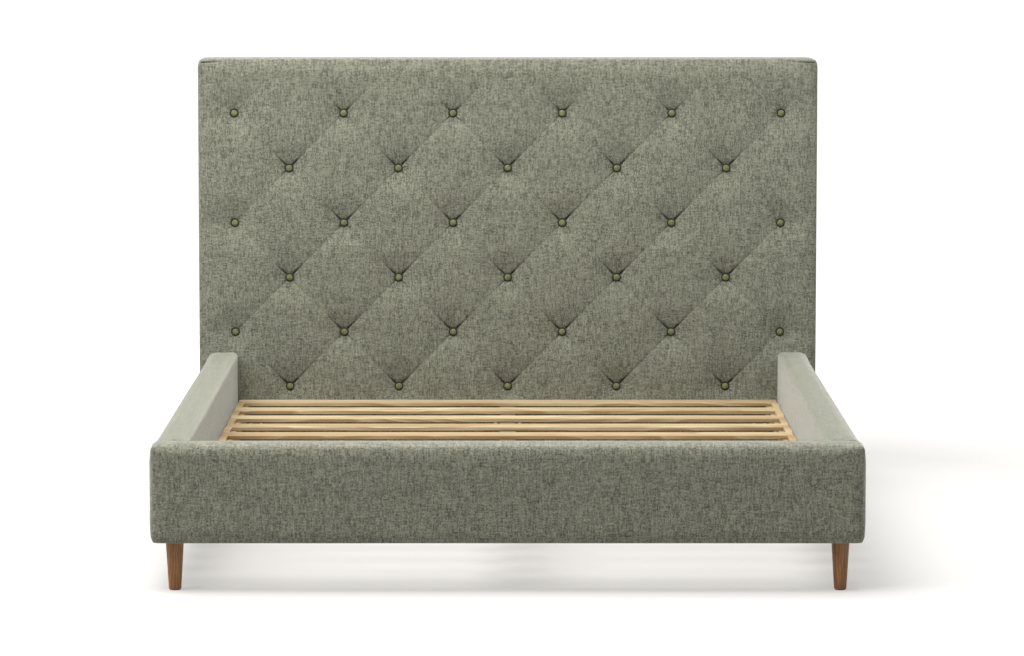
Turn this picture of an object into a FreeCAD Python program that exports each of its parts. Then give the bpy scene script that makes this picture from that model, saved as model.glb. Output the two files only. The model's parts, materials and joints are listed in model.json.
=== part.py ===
import FreeCAD, Part
import math
import os

# Upholstered bed for a queen mattress. Millimetres, +Z up, +Y towards the headboard.
# Origin: on the floor, under the middle of the whole bed.

# ---- What the bed is made around ----
MATTRESS_W = 1530.0
MATTRESS_L = 2030.0
MATTRESS_GAP = 10.0          # room left on each side of the mattress

# ---- Outside sizes ----
WALL_T = 89.0                # padded side rails and footboard, front to back
WALL_H = 244.0
HEADBOARD_T = 100.0
HEADBOARD_OVERHANG = 23.0    # how far the headboard stands out past each side rail
HEADBOARD_RISE = 843.0       # above the top of the side rails
LEG_H = 117.0
HEADBOARD_LOW = 60.0            # underside of the headboard, lower than the rails'
DECK_DEPTH = 139.0           # from the top of the side rails down to the slats

# ---- Padding and cloth ----
COVER_T = 2.0
BACK_CLOTH_T = 1.0
BACK_CLOTH_MARGIN = 12.0     # the cloth stops short of the headboard's edge
HEM_W = 45.0                 # cover turned in on the back of the headboard
FOAM_FACE = 30.0             # outer side of the rails and footboard
FOAM_INSIDE = 12.0           # mattress side
FOAM_TOP = 20.0
FOAM_EDGE = 12.0             # ends, and the headboard's top and sides
SOFT_EDGE_R = 14.0
RAIL_OUTER_R = 24.0
RAIL_INNER_R = 10.0
RAIL_UNDER_R = 8.0

# ---- Headboard frame ----
TIMBER_T = 42.0
TIMBER_W = 60.0
PANEL_T = 9.0

# ---- Tufting ----
TUFT_ROWS = 6
TUFT_EDGE = 104.0            # outermost button centres from the headboard's side
TUFT_ABOVE_DECK = 38.0       # lowest row above the slats
DIMPLE_DEPTH = 10.0
DIMPLE_R = 32.0
DIMPLE_FLOOR_R = 12.0
BUTTON_R = 11.0
BUTTON_H = 7.0
BUTTON_RIM = 2.0
TWINE_R = 0.8
WASHER_R = 9.0
WASHER_T = 2.0
KNOT_R = 2.5
KNOT_L = 3.0
PANEL_HOLE_R = 4.0

# ---- Slat deck ----
SLAT_COUNT = 11
SLAT_W = 80.0
SLAT_T = 10.0
SLAT_EDGE_R = 1.5
SLAT_END_GAP = 3.0
SLAT_HEAD_GAP = 1.0
SLAT_FOOT_GAP = 59.0
LEDGER_W = 34.0
LEDGER_H = 34.0
SPACER_W = 20.0
SPACER_GAP = 1.0             # all round each spacer block

# ---- Centre rail and its two legs ----
BEAM_W = 43.0
BEAM_H = 70.0
HANGER_T = 2.0
HANGER_FLANGE = 22.0
HANGER_REACH = 45.0
HANGER_H = 60.0
BEAM_FIT = 0.5               # between the rail and the hanger's cheeks
CENTRE_LEG_HEAD = 480.0      # rear centre leg, from the headboard's face
CENTRE_LEG_PITCH = 600.0
FOOT_PAD_R = 20.0
FOOT_PAD_T = 8.0
FOOT_TRAVEL = 9.0
FOOT_SPARE = 1.0             # left between pad and leg when screwed right in
STUD_R = 5.0
STUD_FIT = 0.05              # running clearance in the threaded insert
STUD_IN_PAD = 5.0
STUD_TOP = 60.0
INSERT_R = 8.0
INSERT_L = 25.0

# ---- Corner legs ----
LEG_TOP_R = 22.0
LEG_FOOT_R = 15.0
LEG_EDGE_R = 1.5
LEG_INSET = 57.0             # front leg centres from the side of the bed
GLIDE_R = 13.0
GLIDE_T = 2.0
HANGER_BOLT_R = 4.0
HANGER_BOLT_DOWN = 30.0      # into the leg
HANGER_BOLT_UP = 40.0        # into the timber above it

# ---- Brackets and screws ----
BRACKET_T = 3.0
BRACKET_LEAF = 80.0
BRACKET_H = 45.0
BRACKET_LIFT = 8.0           # above the underside of the rails
BOLT_R = 3.5
BOLT_HEAD_R = 7.0
BOLT_HEAD_H = 4.0
BOLT_END_WOOD = 13.0         # solid wood left past a bolt's or screw's tip
BOLT_FIRST = 35.0
BOLT_SECOND = 65.0
SCREW_R = 2.5
SCREW_HEAD_R = 5.0
SCREW_HEAD_H = 3.0
LEDGER_SCREWS = 6
HOLE_FIT = 0.1               # hole over shank, on the radius
SOFT_HOLE_FIT = 0.4          # hole through cloth and foam over shank, on the radius

# ---- Worked out from the above ----
BAY_W = MATTRESS_W + 2 * MATTRESS_GAP
BAY_L = MATTRESS_L + 2 * MATTRESS_GAP
FRAME_W = BAY_W + 2 * WALL_T
HEADBOARD_W = FRAME_W + 2 * HEADBOARD_OVERHANG
BED_L = WALL_T + BAY_L + HEADBOARD_T
Y_FRONT = -BED_L / 2
Y_BAY_FOOT = Y_FRONT + WALL_T
Y_FACE = Y_BAY_FOOT + BAY_L          # front of the headboard
Y_BACK = BED_L / 2
BAY_MID = (Y_BAY_FOOT + Y_FACE) / 2
WALL_TOP = LEG_H + WALL_H
BED_TOP = WALL_TOP + HEADBOARD_RISE
DECK_TOP = WALL_TOP - DECK_DEPTH
LEDGER_TOP = DECK_TOP - SLAT_T
PACKER_TOP = LEDGER_TOP - 5
INNER_Z = LEG_H + COVER_T            # underside of everything inside the rails' covers
HEAD_INNER_Z = HEADBOARD_LOW + COVER_T   # and inside the headboard's cover
CORE_T = WALL_T - 2 * COVER_T - FOAM_FACE - FOAM_INSIDE
CORE_TOP = WALL_TOP - COVER_T - FOAM_TOP
BOLT_GRIP = CORE_T - BOLT_END_WOOD
FOAM_HEAD = HEADBOARD_T - 2 * COVER_T - BACK_CLOTH_T - PANEL_T - TIMBER_T
Y_PANEL = Y_FACE + COVER_T + FOAM_HEAD
Y_TIMBER = Y_PANEL + PANEL_T
Y_HEM = Y_BACK - BACK_CLOTH_T
HEAD_HALF = HEADBOARD_W / 2 - COVER_T - FOAM_EDGE
HEAD_TOP = BED_TOP - COVER_T - FOAM_EDGE
TUFT_PITCH_X = (HEADBOARD_W - 2 * TUFT_EDGE) / 10
TUFT_PITCH_Z = (BED_TOP - DECK_TOP - TUFT_ABOVE_DECK) / TUFT_ROWS
SLAT_PITCH = (BAY_L - SLAT_HEAD_GAP - SLAT_FOOT_GAP - SLAT_W) / (SLAT_COUNT - 1)
Y_CORE_FRONT = Y_FRONT + COVER_T + FOAM_FACE
BRACKET_Z = LEG_H + BRACKET_LIFT
BEAM_TOP = LEDGER_TOP
BEAM_Z = BEAM_TOP - BEAM_H
POST_Z = FOOT_PAD_T + FOOT_TRAVEL + FOOT_SPARE
BOLT_L = BRACKET_T + COVER_T + FOAM_INSIDE + BOLT_GRIP

ALONG_X = FreeCAD.Vector(1, 0, 0)
ALONG_Y = FreeCAD.Vector(0, 1, 0)
ALONG_Z = FreeCAD.Vector(0, 0, 1)


def at(x, y, z):
    return FreeCAD.Vector(x, y, z)


def block(x0, x1, y0, y1, z0, z1):
    return Part.makeBox(x1 - x0, y1 - y0, z1 - z0, at(x0, y0, z0))


def rod(radius, length, start, direction):
    return Part.makeCylinder(radius, length, start, direction)


def soften(solid, radius, wanted):
    """Round the edges whose middle point passes the wanted test."""
    edges = []
    for edge in solid.Edges:
        box = edge.BoundBox
        if wanted(box.Center):
            edges.append(edge)
    return solid.makeFillet(radius, edges)


def every_edge(_):
    return True


def near(a, b):
    return abs(a - b) < 0.01


def mirrored_x(shape):
    return shape.mirror(at(0, 0, 0), ALONG_X)


def mirrored_bay(shape):
    """The same thing at the other end of the mattress bay."""
    return shape.mirror(at(0, BAY_MID, 0), ALONG_Y)


def group(shapes):
    solids = []
    for shape in shapes:
        solids.extend(shape.Solids)
    return Part.makeCompound(solids)


def drilled(shape, holes):
    for hole in holes:
        shape = shape.cut(hole)
    return shape


def screw(start, direction, shank_r, length, head_r, head_h):
    """Head seated at start, shank running along direction from there."""
    head = rod(head_r, head_h, start - direction * head_h, direction)
    return head.fuse(rod(shank_r, length, start, direction)).removeSplitter()


# ---- Tufting ----

def tuft_spots():
    """Button centres (x, z): rows of six and five by turns, set in diamonds."""
    spots = []
    for row in range(TUFT_ROWS):
        z = BED_TOP - (row + 1) * TUFT_PITCH_Z
        steps = (-5, -3, -1, 1, 3, 5) if row % 2 == 0 else (-4, -2, 0, 2, 4)
        for step in steps:
            spots.append((step * TUFT_PITCH_X, z))
    return spots


def tuft_button(x, z):
    """Flat-backed button with a short rim and a domed front."""
    y = Y_FACE + DIMPLE_DEPTH
    rise = BUTTON_H - BUTTON_RIM
    ball_r = (BUTTON_R ** 2 + rise ** 2) / (2 * rise)
    ball_y = y - BUTTON_H + ball_r
    half_way = math.asin(BUTTON_R / ball_r) / 2
    rim = at(x + BUTTON_R, y - BUTTON_RIM, z)
    crown = at(x + ball_r * math.sin(half_way), ball_y - ball_r * math.cos(half_way), z)
    top = at(x, y - BUTTON_H, z)
    back = at(x, y, z)
    edges = [
        Part.makeLine(back, at(x + BUTTON_R, y, z)),
        Part.makeLine(at(x + BUTTON_R, y, z), rim),
        Part.Arc(rim, crown, top).toShape(),
        Part.makeLine(top, back),
    ]
    return Part.Face(Part.Wire(edges)).revolve(back, ALONG_Y, 360)


def tuft_twine(x, z):
    behind = Y_TIMBER + WASHER_T
    line = rod(TWINE_R, behind - Y_FACE - DIMPLE_DEPTH, at(x, Y_FACE + DIMPLE_DEPTH, z), ALONG_Y)
    return line.fuse(rod(KNOT_R, KNOT_L, at(x, behind, z), ALONG_Y)).removeSplitter()


def tuft_washer(x, z):
    disc = rod(WASHER_R, WASHER_T, at(x, Y_TIMBER, z), ALONG_Y)
    return disc.cut(rod(TWINE_R + SOFT_HOLE_FIT, WASHER_T, at(x, Y_TIMBER, z), ALONG_Y))


def twine_holes(radius):
    length = Y_TIMBER - Y_FACE
    return [rod(radius, length, at(x, Y_FACE, z), ALONG_Y) for x, z in tuft_spots()]


# ---- Headboard ----

def headboard_form(inset):
    """The headboard's padded outline, taken in by inset, with the button dimples."""
    half = HEADBOARD_W / 2 - inset
    front = Y_FACE + inset
    top = BED_TOP - inset
    low = HEADBOARD_LOW + inset
    form = block(-half, half, front, Y_HEM - inset, low, top)

    def wanted(p):
        return p.z > low + 1 and (near(p.y, front) or (near(p.z, top) and near(abs(p.x), half)))

    form = soften(form, SOFT_EDGE_R - inset, wanted)
    cones = []
    for x, z in tuft_spots():
        cones.append(Part.makeCone(DIMPLE_R, DIMPLE_FLOOR_R, DIMPLE_DEPTH, at(x, front, z), ALONG_Y))
    return form.cut(Part.makeCompound(cones))


def headboard_cover(inner):
    opening = block(-HEADBOARD_W / 2 + HEM_W, HEADBOARD_W / 2 - HEM_W, Y_HEM - COVER_T - 1, Y_BACK,
                    HEADBOARD_LOW + HEM_W, BED_TOP - HEM_W)
    cover = headboard_form(0).cut(inner).cut(opening)
    holes = twine_holes(TWINE_R + SOFT_HOLE_FIT)
    holes += rear_fixing_holes(SOFT_HOLE_FIT)
    holes += rear_leg_holes(HANGER_BOLT_R + SOFT_HOLE_FIT)
    return drilled(cover, holes)


def headboard_foam(inner):
    timber = block(-HEAD_HALF, HEAD_HALF, Y_PANEL, Y_BACK, HEAD_INNER_Z - 1, HEAD_TOP)
    packer = block(-HEAD_HALF, HEAD_HALF, Y_FACE, Y_BACK, HEAD_INNER_Z - 1, PACKER_TOP)
    foam = inner.cut(timber).cut(packer)
    return drilled(foam, twine_holes(TWINE_R + SOFT_HOLE_FIT))


def headboard_packer():
    packer = block(-HEAD_HALF, HEAD_HALF, Y_FACE + COVER_T, Y_PANEL, HEAD_INNER_Z, PACKER_TOP)
    return drilled(packer, rear_fixing_holes(HOLE_FIT))


def headboard_panel():
    panel = block(-HEAD_HALF, HEAD_HALF, Y_PANEL, Y_TIMBER, HEAD_INNER_Z, HEAD_TOP)
    return drilled(panel, twine_holes(PANEL_HOLE_R) + rear_fixing_holes(HOLE_FIT))


def headboard_post():
    """The right-hand post; a corner leg screws into its foot."""
    post = block(HEAD_HALF - TIMBER_W, HEAD_HALF, Y_TIMBER, Y_TIMBER + TIMBER_T, HEAD_INNER_Z, HEAD_TOP)
    return drilled(post, rear_leg_holes(HANGER_BOLT_R + HOLE_FIT))


def headboard_rail(low):
    half = HEAD_HALF - TIMBER_W
    rail = block(-half, half, Y_TIMBER, Y_TIMBER + TIMBER_T, low, low + TIMBER_W)
    return drilled(rail, rear_fixing_holes(HOLE_FIT))


def headboard_back_cloth():
    half = HEADBOARD_W / 2 - BACK_CLOTH_MARGIN
    return block(-half, half, Y_HEM, Y_BACK, HEADBOARD_LOW + BACK_CLOTH_MARGIN, BED_TOP - BACK_CLOTH_MARGIN)


# ---- Footboard ----

def footboard_form(inset):
    half = FRAME_W / 2 - inset
    back = Y_BAY_FOOT - inset
    low = LEG_H + inset
    form = block(-half, half, Y_FRONT + inset, back, low, WALL_TOP - inset)

    def wanted(p):
        return not (near(p.y, back) and near(p.z, low))

    return soften(form, SOFT_EDGE_R - inset, wanted)


def footboard_core_block():
    half = FRAME_W / 2 - COVER_T - FOAM_EDGE
    return block(-half, half, Y_CORE_FRONT, Y_CORE_FRONT + CORE_T, INNER_Z, CORE_TOP)


def footboard_packer_block():
    half = FRAME_W / 2 - COVER_T - FOAM_EDGE
    return block(-half, half, Y_CORE_FRONT + CORE_T, Y_BAY_FOOT - COVER_T, INNER_Z, PACKER_TOP)


def footboard_cover():
    cover = footboard_form(0).cut(footboard_form(COVER_T))
    holes = front_fixing_holes(SOFT_HOLE_FIT) + front_leg_holes(HANGER_BOLT_R + SOFT_HOLE_FIT)
    return drilled(cover, holes)


def footboard_foam():
    return footboard_form(COVER_T).cut(footboard_core_block()).cut(footboard_packer_block())


def footboard_core():
    holes = front_fixing_holes(HOLE_FIT) + front_leg_holes(HANGER_BOLT_R + HOLE_FIT)
    return drilled(footboard_core_block(), holes)


def footboard_packer():
    return drilled(footboard_packer_block(), front_fixing_holes(HOLE_FIT))


# ---- Side rails, drawn for the right side ----

def rail_section(inset):
    """Padded rail seen end-on: mattress side low in x, outer side high in x."""
    x0 = BAY_W / 2 + inset
    x1 = FRAME_W / 2 - inset
    z0 = LEG_H + inset
    z1 = WALL_TOP - inset
    ru = RAIL_UNDER_R - inset
    ro = RAIL_OUTER_R - inset
    ri = RAIL_INNER_R - inset
    k = 1 - 0.5 ** 0.5
    y = Y_BAY_FOOT + inset
    edges = [
        Part.makeLine(at(x0, y, z0), at(x1 - ru, y, z0)),
        Part.Arc(at(x1 - ru, y, z0), at(x1 - ru * k, y, z0 + ru * k), at(x1, y, z0 + ru)).toShape(),
        Part.makeLine(at(x1, y, z0 + ru), at(x1, y, z1 - ro)),
        Part.Arc(at(x1, y, z1 - ro), at(x1 - ro * k, y, z1 - ro * k), at(x1 - ro, y, z1)).toShape(),
        Part.makeLine(at(x1 - ro, y, z1), at(x0 + ri, y, z1)),
        Part.Arc(at(x0 + ri, y, z1), at(x0 + ri * k, y, z1 - ri * k), at(x0, y, z1 - ri)).toShape(),
        Part.makeLine(at(x0, y, z1 - ri), at(x0, y, z0)),
    ]
    return Part.Face(Part.Wire(edges))


def rail_form(inset):
    return rail_section(inset).extrude(ALONG_Y * (BAY_L - 2 * inset))


def rail_core_block():
    x1 = FRAME_W / 2 - COVER_T - FOAM_FACE
    return block(x1 - CORE_T, x1, Y_BAY_FOOT + COVER_T, Y_FACE - COVER_T, INNER_Z, CORE_TOP)


def rail_packer_block():
    x0 = BAY_W / 2 + COVER_T
    return block(x0, x0 + FOAM_INSIDE, Y_BAY_FOOT + COVER_T, Y_FACE - COVER_T, INNER_Z, PACKER_TOP)


def rail_cover():
    cover = rail_form(0).cut(rail_form(COVER_T))
    holes = rail_bolt_holes(BOLT_R + SOFT_HOLE_FIT) + ledger_screw_holes(SCREW_R + SOFT_HOLE_FIT)
    return drilled(cover, holes)


def rail_foam():
    return rail_form(COVER_T).cut(rail_core_block()).cut(rail_packer_block())


def rail_timber(timber):
    holes = rail_bolt_holes(BOLT_R + HOLE_FIT) + ledger_screw_holes(SCREW_R + HOLE_FIT)
    return drilled(timber, holes)


def ledger():
    """Strip the slats rest on, screwed along the inside of the rail."""
    x1 = BAY_W / 2
    strip = block(x1 - LEDGER_W, x1, Y_BAY_FOOT + SLAT_HEAD_GAP, Y_FACE - SLAT_HEAD_GAP,
                  LEDGER_TOP - LEDGER_H, LEDGER_TOP)
    strip = drilled(strip, ledger_screw_holes(SCREW_R + HOLE_FIT))
    sinks = []
    for start in ledger_screw_starts():
        sinks.append(rod(SCREW_HEAD_R + HOLE_FIT, SCREW_HEAD_H, start - ALONG_X * SCREW_HEAD_H, ALONG_X))
    return drilled(strip, sinks)


def ledger_screw_starts():
    """Where the screw heads bear, sunk in the ledger's inner side."""
    x = BAY_W / 2 - LEDGER_W + SCREW_HEAD_H
    z = LEDGER_TOP - LEDGER_H / 2
    pitch = BAY_L / LEDGER_SCREWS
    return [at(x, Y_BAY_FOOT + (i + 0.5) * pitch, z) for i in range(LEDGER_SCREWS)]


def ledger_screw_length():
    return LEDGER_W - SCREW_HEAD_H + COVER_T + FOAM_INSIDE + BOLT_GRIP


def ledger_screws():
    length = ledger_screw_length()
    return [screw(s, ALONG_X, SCREW_R, length, SCREW_HEAD_R, SCREW_HEAD_H) for s in ledger_screw_starts()]


def ledger_screw_holes(radius):
    length = ledger_screw_length() + HOLE_FIT
    return [rod(radius, length, start, ALONG_X) for start in ledger_screw_starts()]


# ---- Slats ----

def slat_head_edge(number):
    """The edge nearer the headboard; slat 1 is the one at the headboard."""
    return Y_FACE - SLAT_HEAD_GAP - (number - 1) * SLAT_PITCH


def slat(number):
    half = BAY_W / 2 - SLAT_END_GAP
    y1 = slat_head_edge(number)
    return soften(block(-half, half, y1 - SLAT_W, y1, LEDGER_TOP, DECK_TOP), SLAT_EDGE_R, every_edge)


def slat_spacers():
    """Blocks on both ledgers that keep the slats apart."""
    x1 = BAY_W / 2 - SPACER_GAP
    blocks = []
    for number in range(1, SLAT_COUNT):
        y1 = slat_head_edge(number) - SLAT_W - SPACER_GAP
        y0 = slat_head_edge(number + 1) + SPACER_GAP
        spacer = soften(block(x1 - SPACER_W, x1, y0, y1, LEDGER_TOP, DECK_TOP), SLAT_EDGE_R, every_edge)
        blocks += [spacer, mirrored_x(spacer)]
    return group(blocks)


# ---- Corner brackets and their bolts, drawn at the right-hand front corner ----

def corner_bracket():
    x1 = BAY_W / 2
    z1 = BRACKET_Z + BRACKET_H
    rail_leaf = block(x1 - BRACKET_T, x1, Y_BAY_FOOT, Y_BAY_FOOT + BRACKET_LEAF, BRACKET_Z, z1)
    end_leaf = block(x1 - BRACKET_LEAF, x1, Y_BAY_FOOT, Y_BAY_FOOT + BRACKET_T, BRACKET_Z, z1)
    bracket = rail_leaf.fuse(end_leaf).removeSplitter()
    radius = BOLT_R + HOLE_FIT
    holes = [rod(radius, BOLT_L, s, ALONG_X) for s in rail_bolt_starts()]
    holes += [rod(radius, BOLT_L, s, -ALONG_Y) for s in end_bolt_starts()]
    return drilled(bracket, holes)


def rail_bolt_starts():
    x = BAY_W / 2 - BRACKET_T
    z = BRACKET_Z + BRACKET_H / 2
    return [at(x, Y_BAY_FOOT + d, z) for d in (BOLT_FIRST, BOLT_SECOND)]


def end_bolt_starts():
    y = Y_BAY_FOOT + BRACKET_T
    z = BRACKET_Z + BRACKET_H / 2
    return [at(BAY_W / 2 - d, y, z) for d in (BOLT_FIRST, BOLT_SECOND)]


def four_corners(shapes):
    placed = []
    for shape in shapes:
        placed += [shape, mirrored_x(shape), mirrored_bay(shape), mirrored_x(mirrored_bay(shape))]
    return placed


def bracket_bolts():
    bolts = [screw(s, ALONG_X, BOLT_R, BOLT_L, BOLT_HEAD_R, BOLT_HEAD_H) for s in rail_bolt_starts()]
    bolts += [screw(s, -ALONG_Y, BOLT_R, BOLT_L, BOLT_HEAD_R, BOLT_HEAD_H) for s in end_bolt_starts()]
    return group(four_corners(bolts))


def rail_bolt_holes(radius):
    """Holes in the right-hand rail for the brackets at both its ends."""
    holes = [rod(radius, BOLT_L + HOLE_FIT, s, ALONG_X) for s in rail_bolt_starts()]
    return holes + [mirrored_bay(h) for h in holes]


def front_fixing_holes(fit):
    """Holes in the footboard for the corner brackets and the centre rail's hanger."""
    holes = [rod(BOLT_R + fit, BOLT_L + HOLE_FIT, s, -ALONG_Y) for s in end_bolt_starts()]
    holes += [mirrored_x(h) for h in holes]
    return holes + front_hanger_holes(SCREW_R + fit)


def rear_fixing_holes(fit):
    return [mirrored_bay(h) for h in front_fixing_holes(fit)]


# ---- Centre rail ----

def centre_rail():
    half = BEAM_W / 2
    gap = HANGER_T + SLAT_HEAD_GAP
    beam = block(-half, half, Y_BAY_FOOT + gap, Y_FACE - gap, BEAM_Z, BEAM_TOP)
    holes = []
    for y in centre_leg_rows():
        holes.append(hanger_bolt_hole(0, y, BEAM_Z, HANGER_BOLT_R + HOLE_FIT))
    return drilled(beam, holes)


def centre_leg_rows():
    rear = Y_FACE - CENTRE_LEG_HEAD
    return [rear - CENTRE_LEG_PITCH, rear]


def rail_hanger():
    """Steel saddle on the back of the footboard that holds the rail's end."""
    inner = BEAM_W / 2 + BEAM_FIT
    outer = inner + HANGER_T
    flange = outer + HANGER_FLANGE
    z0 = BEAM_Z - HANGER_T
    z1 = z0 + HANGER_H
    y0 = Y_BAY_FOOT
    plate = block(-flange, flange, y0, y0 + HANGER_T, z0, z1)
    saddle = block(-outer, outer, y0, y0 + HANGER_REACH, z0, z1)
    room = block(-inner, inner, y0 + HANGER_T, y0 + HANGER_REACH, BEAM_Z, z1)
    hanger = plate.fuse(saddle).cut(room).removeSplitter()
    return drilled(hanger, front_hanger_holes(SCREW_R + HOLE_FIT))


def hanger_screw_starts():
    x = BEAM_W / 2 + BEAM_FIT + HANGER_T + HANGER_FLANGE / 2
    y = Y_BAY_FOOT + HANGER_T
    low = BEAM_Z - HANGER_T + HANGER_H / 4
    return [at(side * x, y, z) for side in (-1, 1) for z in (low, low + HANGER_H / 2)]


def hanger_screw_length():
    return HANGER_T + COVER_T + FOAM_INSIDE + BOLT_GRIP


def hanger_screws():
    length = hanger_screw_length()
    front = [screw(s, -ALONG_Y, SCREW_R, length, SCREW_HEAD_R, SCREW_HEAD_H) for s in hanger_screw_starts()]
    return group(front + [mirrored_bay(s) for s in front])


def front_hanger_holes(radius):
    length = hanger_screw_length() + HOLE_FIT
    return [rod(radius, length, s, -ALONG_Y) for s in hanger_screw_starts()]


def centre_leg(y):
    half = BEAM_W / 2
    post = block(-half, half, y - half, y + half, POST_Z, BEAM_Z)
    holes = [
        rod(INSERT_R, INSERT_L, at(0, y, POST_Z), ALONG_Z),
        rod(STUD_R + 1, STUD_TOP + FOOT_TRAVEL + 3 - POST_Z, at(0, y, POST_Z), ALONG_Z),
        hanger_bolt_hole(0, y, BEAM_Z, HANGER_BOLT_R + HOLE_FIT),
    ]
    return drilled(post, holes)


def centre_leg_insert(y):
    """Threaded insert in the foot of a centre leg; the thread is a plain bore."""
    start = at(0, y, POST_Z)
    return rod(INSERT_R, INSERT_L, start, ALONG_Z).cut(rod(STUD_R + STUD_FIT, INSERT_L, start, ALONG_Z))


def centre_foot_pad(y):
    pad = rod(FOOT_PAD_R, FOOT_PAD_T, at(0, y, 0), ALONG_Z)
    return pad.cut(rod(STUD_R, STUD_IN_PAD, at(0, y, FOOT_PAD_T - STUD_IN_PAD), ALONG_Z))


def centre_foot_stud(y):
    low = FOOT_PAD_T - STUD_IN_PAD
    return rod(STUD_R, STUD_TOP - low, at(0, y, low), ALONG_Z)


# ---- Corner legs ----

def corner_leg_spots():
    """Left front, right front, left rear, right rear."""
    x = FRAME_W / 2 - LEG_INSET
    y = Y_CORE_FRONT + CORE_T / 2
    rear_x = HEAD_HALF - TIMBER_W / 2
    rear_y = Y_TIMBER + TIMBER_T / 2
    return [(-x, y), (x, y), (-rear_x, rear_y), (rear_x, rear_y)]


def corner_leg_tops():
    """Height of each corner leg's top, in the order of corner_leg_spots."""
    return [LEG_H, LEG_H, HEADBOARD_LOW, HEADBOARD_LOW]


def corner_leg(x, y, top):
    cone = Part.makeCone(LEG_FOOT_R, LEG_TOP_R, top - GLIDE_T, at(x, y, GLIDE_T), ALONG_Z)
    cone = soften(cone, LEG_EDGE_R, lambda p: near(p.z, GLIDE_T))
    return cone.cut(hanger_bolt_hole(x, y, top, HANGER_BOLT_R + HOLE_FIT))


def hanger_bolt(x, y, z):
    """Double-ended bolt across the joint at height z."""
    return rod(HANGER_BOLT_R, HANGER_BOLT_DOWN + HANGER_BOLT_UP, at(x, y, z - HANGER_BOLT_DOWN), ALONG_Z)


def hanger_bolt_hole(x, y, z, radius):
    length = HANGER_BOLT_DOWN + HANGER_BOLT_UP + 2 * HOLE_FIT
    return rod(radius, length, at(x, y, z - HANGER_BOLT_DOWN - HOLE_FIT), ALONG_Z)


def front_leg_holes(radius):
    return [hanger_bolt_hole(x, y, LEG_H, radius) for x, y in corner_leg_spots()[:2]]


def rear_leg_holes(radius):
    return [hanger_bolt_hole(x, y, HEADBOARD_LOW, radius) for x, y in corner_leg_spots()[2:]]


def leg_hanger_bolts():
    bolts = [hanger_bolt(x, y, top) for (x, y), top in zip(corner_leg_spots(), corner_leg_tops())]
    bolts += [hanger_bolt(0, y, BEAM_Z) for y in centre_leg_rows()]
    return group(bolts)


def leg_glide(x, y):
    return rod(GLIDE_R, GLIDE_T, at(x, y, 0), ALONG_Z)


# ---- The whole bed ----

def build_headboard(parts):
    inner = headboard_form(COVER_T)
    post = headboard_post()
    spots = tuft_spots()
    middle = BED_TOP - (TUFT_ROWS + 1) / 2 * TUFT_PITCH_Z - TIMBER_W / 2
    parts["headboard_post_left"] = mirrored_x(post)
    parts["headboard_post_right"] = post
    parts["headboard_rail_top"] = headboard_rail(HEAD_TOP - TIMBER_W)
    parts["headboard_rail_middle"] = headboard_rail(middle)
    parts["headboard_rail_bottom"] = headboard_rail(INNER_Z)
    parts["headboard_packer"] = headboard_packer()
    parts["headboard_panel"] = headboard_panel()
    parts["headboard_foam"] = headboard_foam(inner)
    parts["headboard_cover"] = headboard_cover(inner)
    parts["headboard_back_cloth"] = headboard_back_cloth()
    parts["tuft_buttons"] = group([tuft_button(x, z) for x, z in spots])
    parts["tuft_twines"] = group([tuft_twine(x, z) for x, z in spots])
    parts["tuft_washers"] = group([tuft_washer(x, z) for x, z in spots])


def build_footboard(parts):
    parts["footboard_core"] = footboard_core()
    parts["footboard_packer"] = footboard_packer()
    parts["footboard_foam"] = footboard_foam()
    parts["footboard_cover"] = footboard_cover()


def build_side_rails(parts):
    right = {
        "side_rail_core": rail_timber(rail_core_block()),
        "side_rail_packer": rail_timber(rail_packer_block()),
        "side_rail_foam": rail_foam(),
        "side_rail_cover": rail_cover(),
        "ledger": ledger(),
    }
    for name, shape in right.items():
        parts[name + "_right"] = shape
        parts[name + "_left"] = mirrored_x(shape)
    screws = ledger_screws()
    parts["ledger_screws"] = group(screws + [mirrored_x(s) for s in screws])
    parts["corner_brackets"] = group(four_corners([corner_bracket()]))
    parts["bracket_bolts"] = bracket_bolts()


def build_deck(parts):
    for number in range(1, SLAT_COUNT + 1):
        parts["slat_%02d" % number] = slat(number)
    parts["slat_spacers"] = slat_spacers()


def build_centre(parts):
    hanger = rail_hanger()
    parts["centre_rail"] = centre_rail()
    parts["centre_rail_hangers"] = group([hanger, mirrored_bay(hanger)])
    parts["hanger_screws"] = hanger_screws()
    parts["centre_leg_inserts"] = group([centre_leg_insert(y) for y in centre_leg_rows()])
    for end, y in zip(("front", "rear"), centre_leg_rows()):
        parts["centre_leg_" + end] = centre_leg(y)
        parts["centre_foot_pad_" + end] = centre_foot_pad(y)
        parts["centre_foot_stud_" + end] = centre_foot_stud(y)


def build_legs(parts):
    names = ("leg_front_left", "leg_front_right", "leg_rear_left", "leg_rear_right")
    for name, (x, y), top in zip(names, corner_leg_spots(), corner_leg_tops()):
        parts[name] = corner_leg(x, y, top)
    parts["leg_glides"] = group([leg_glide(x, y) for x, y in corner_leg_spots()])
    parts["leg_hanger_bolts"] = leg_hanger_bolts()


def build():
    parts = {}
    build_headboard(parts)
    build_footboard(parts)
    build_side_rails(parts)
    build_deck(parts)
    build_centre(parts)
    build_legs(parts)
    return parts


os.makedirs("parts", exist_ok=True)
for node, shape in build().items():
    shape.exportStep("parts/" + node + ".step")
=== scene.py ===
import json
import math
import bpy
import bmesh
from mathutils import Matrix, Vector, noise


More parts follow.
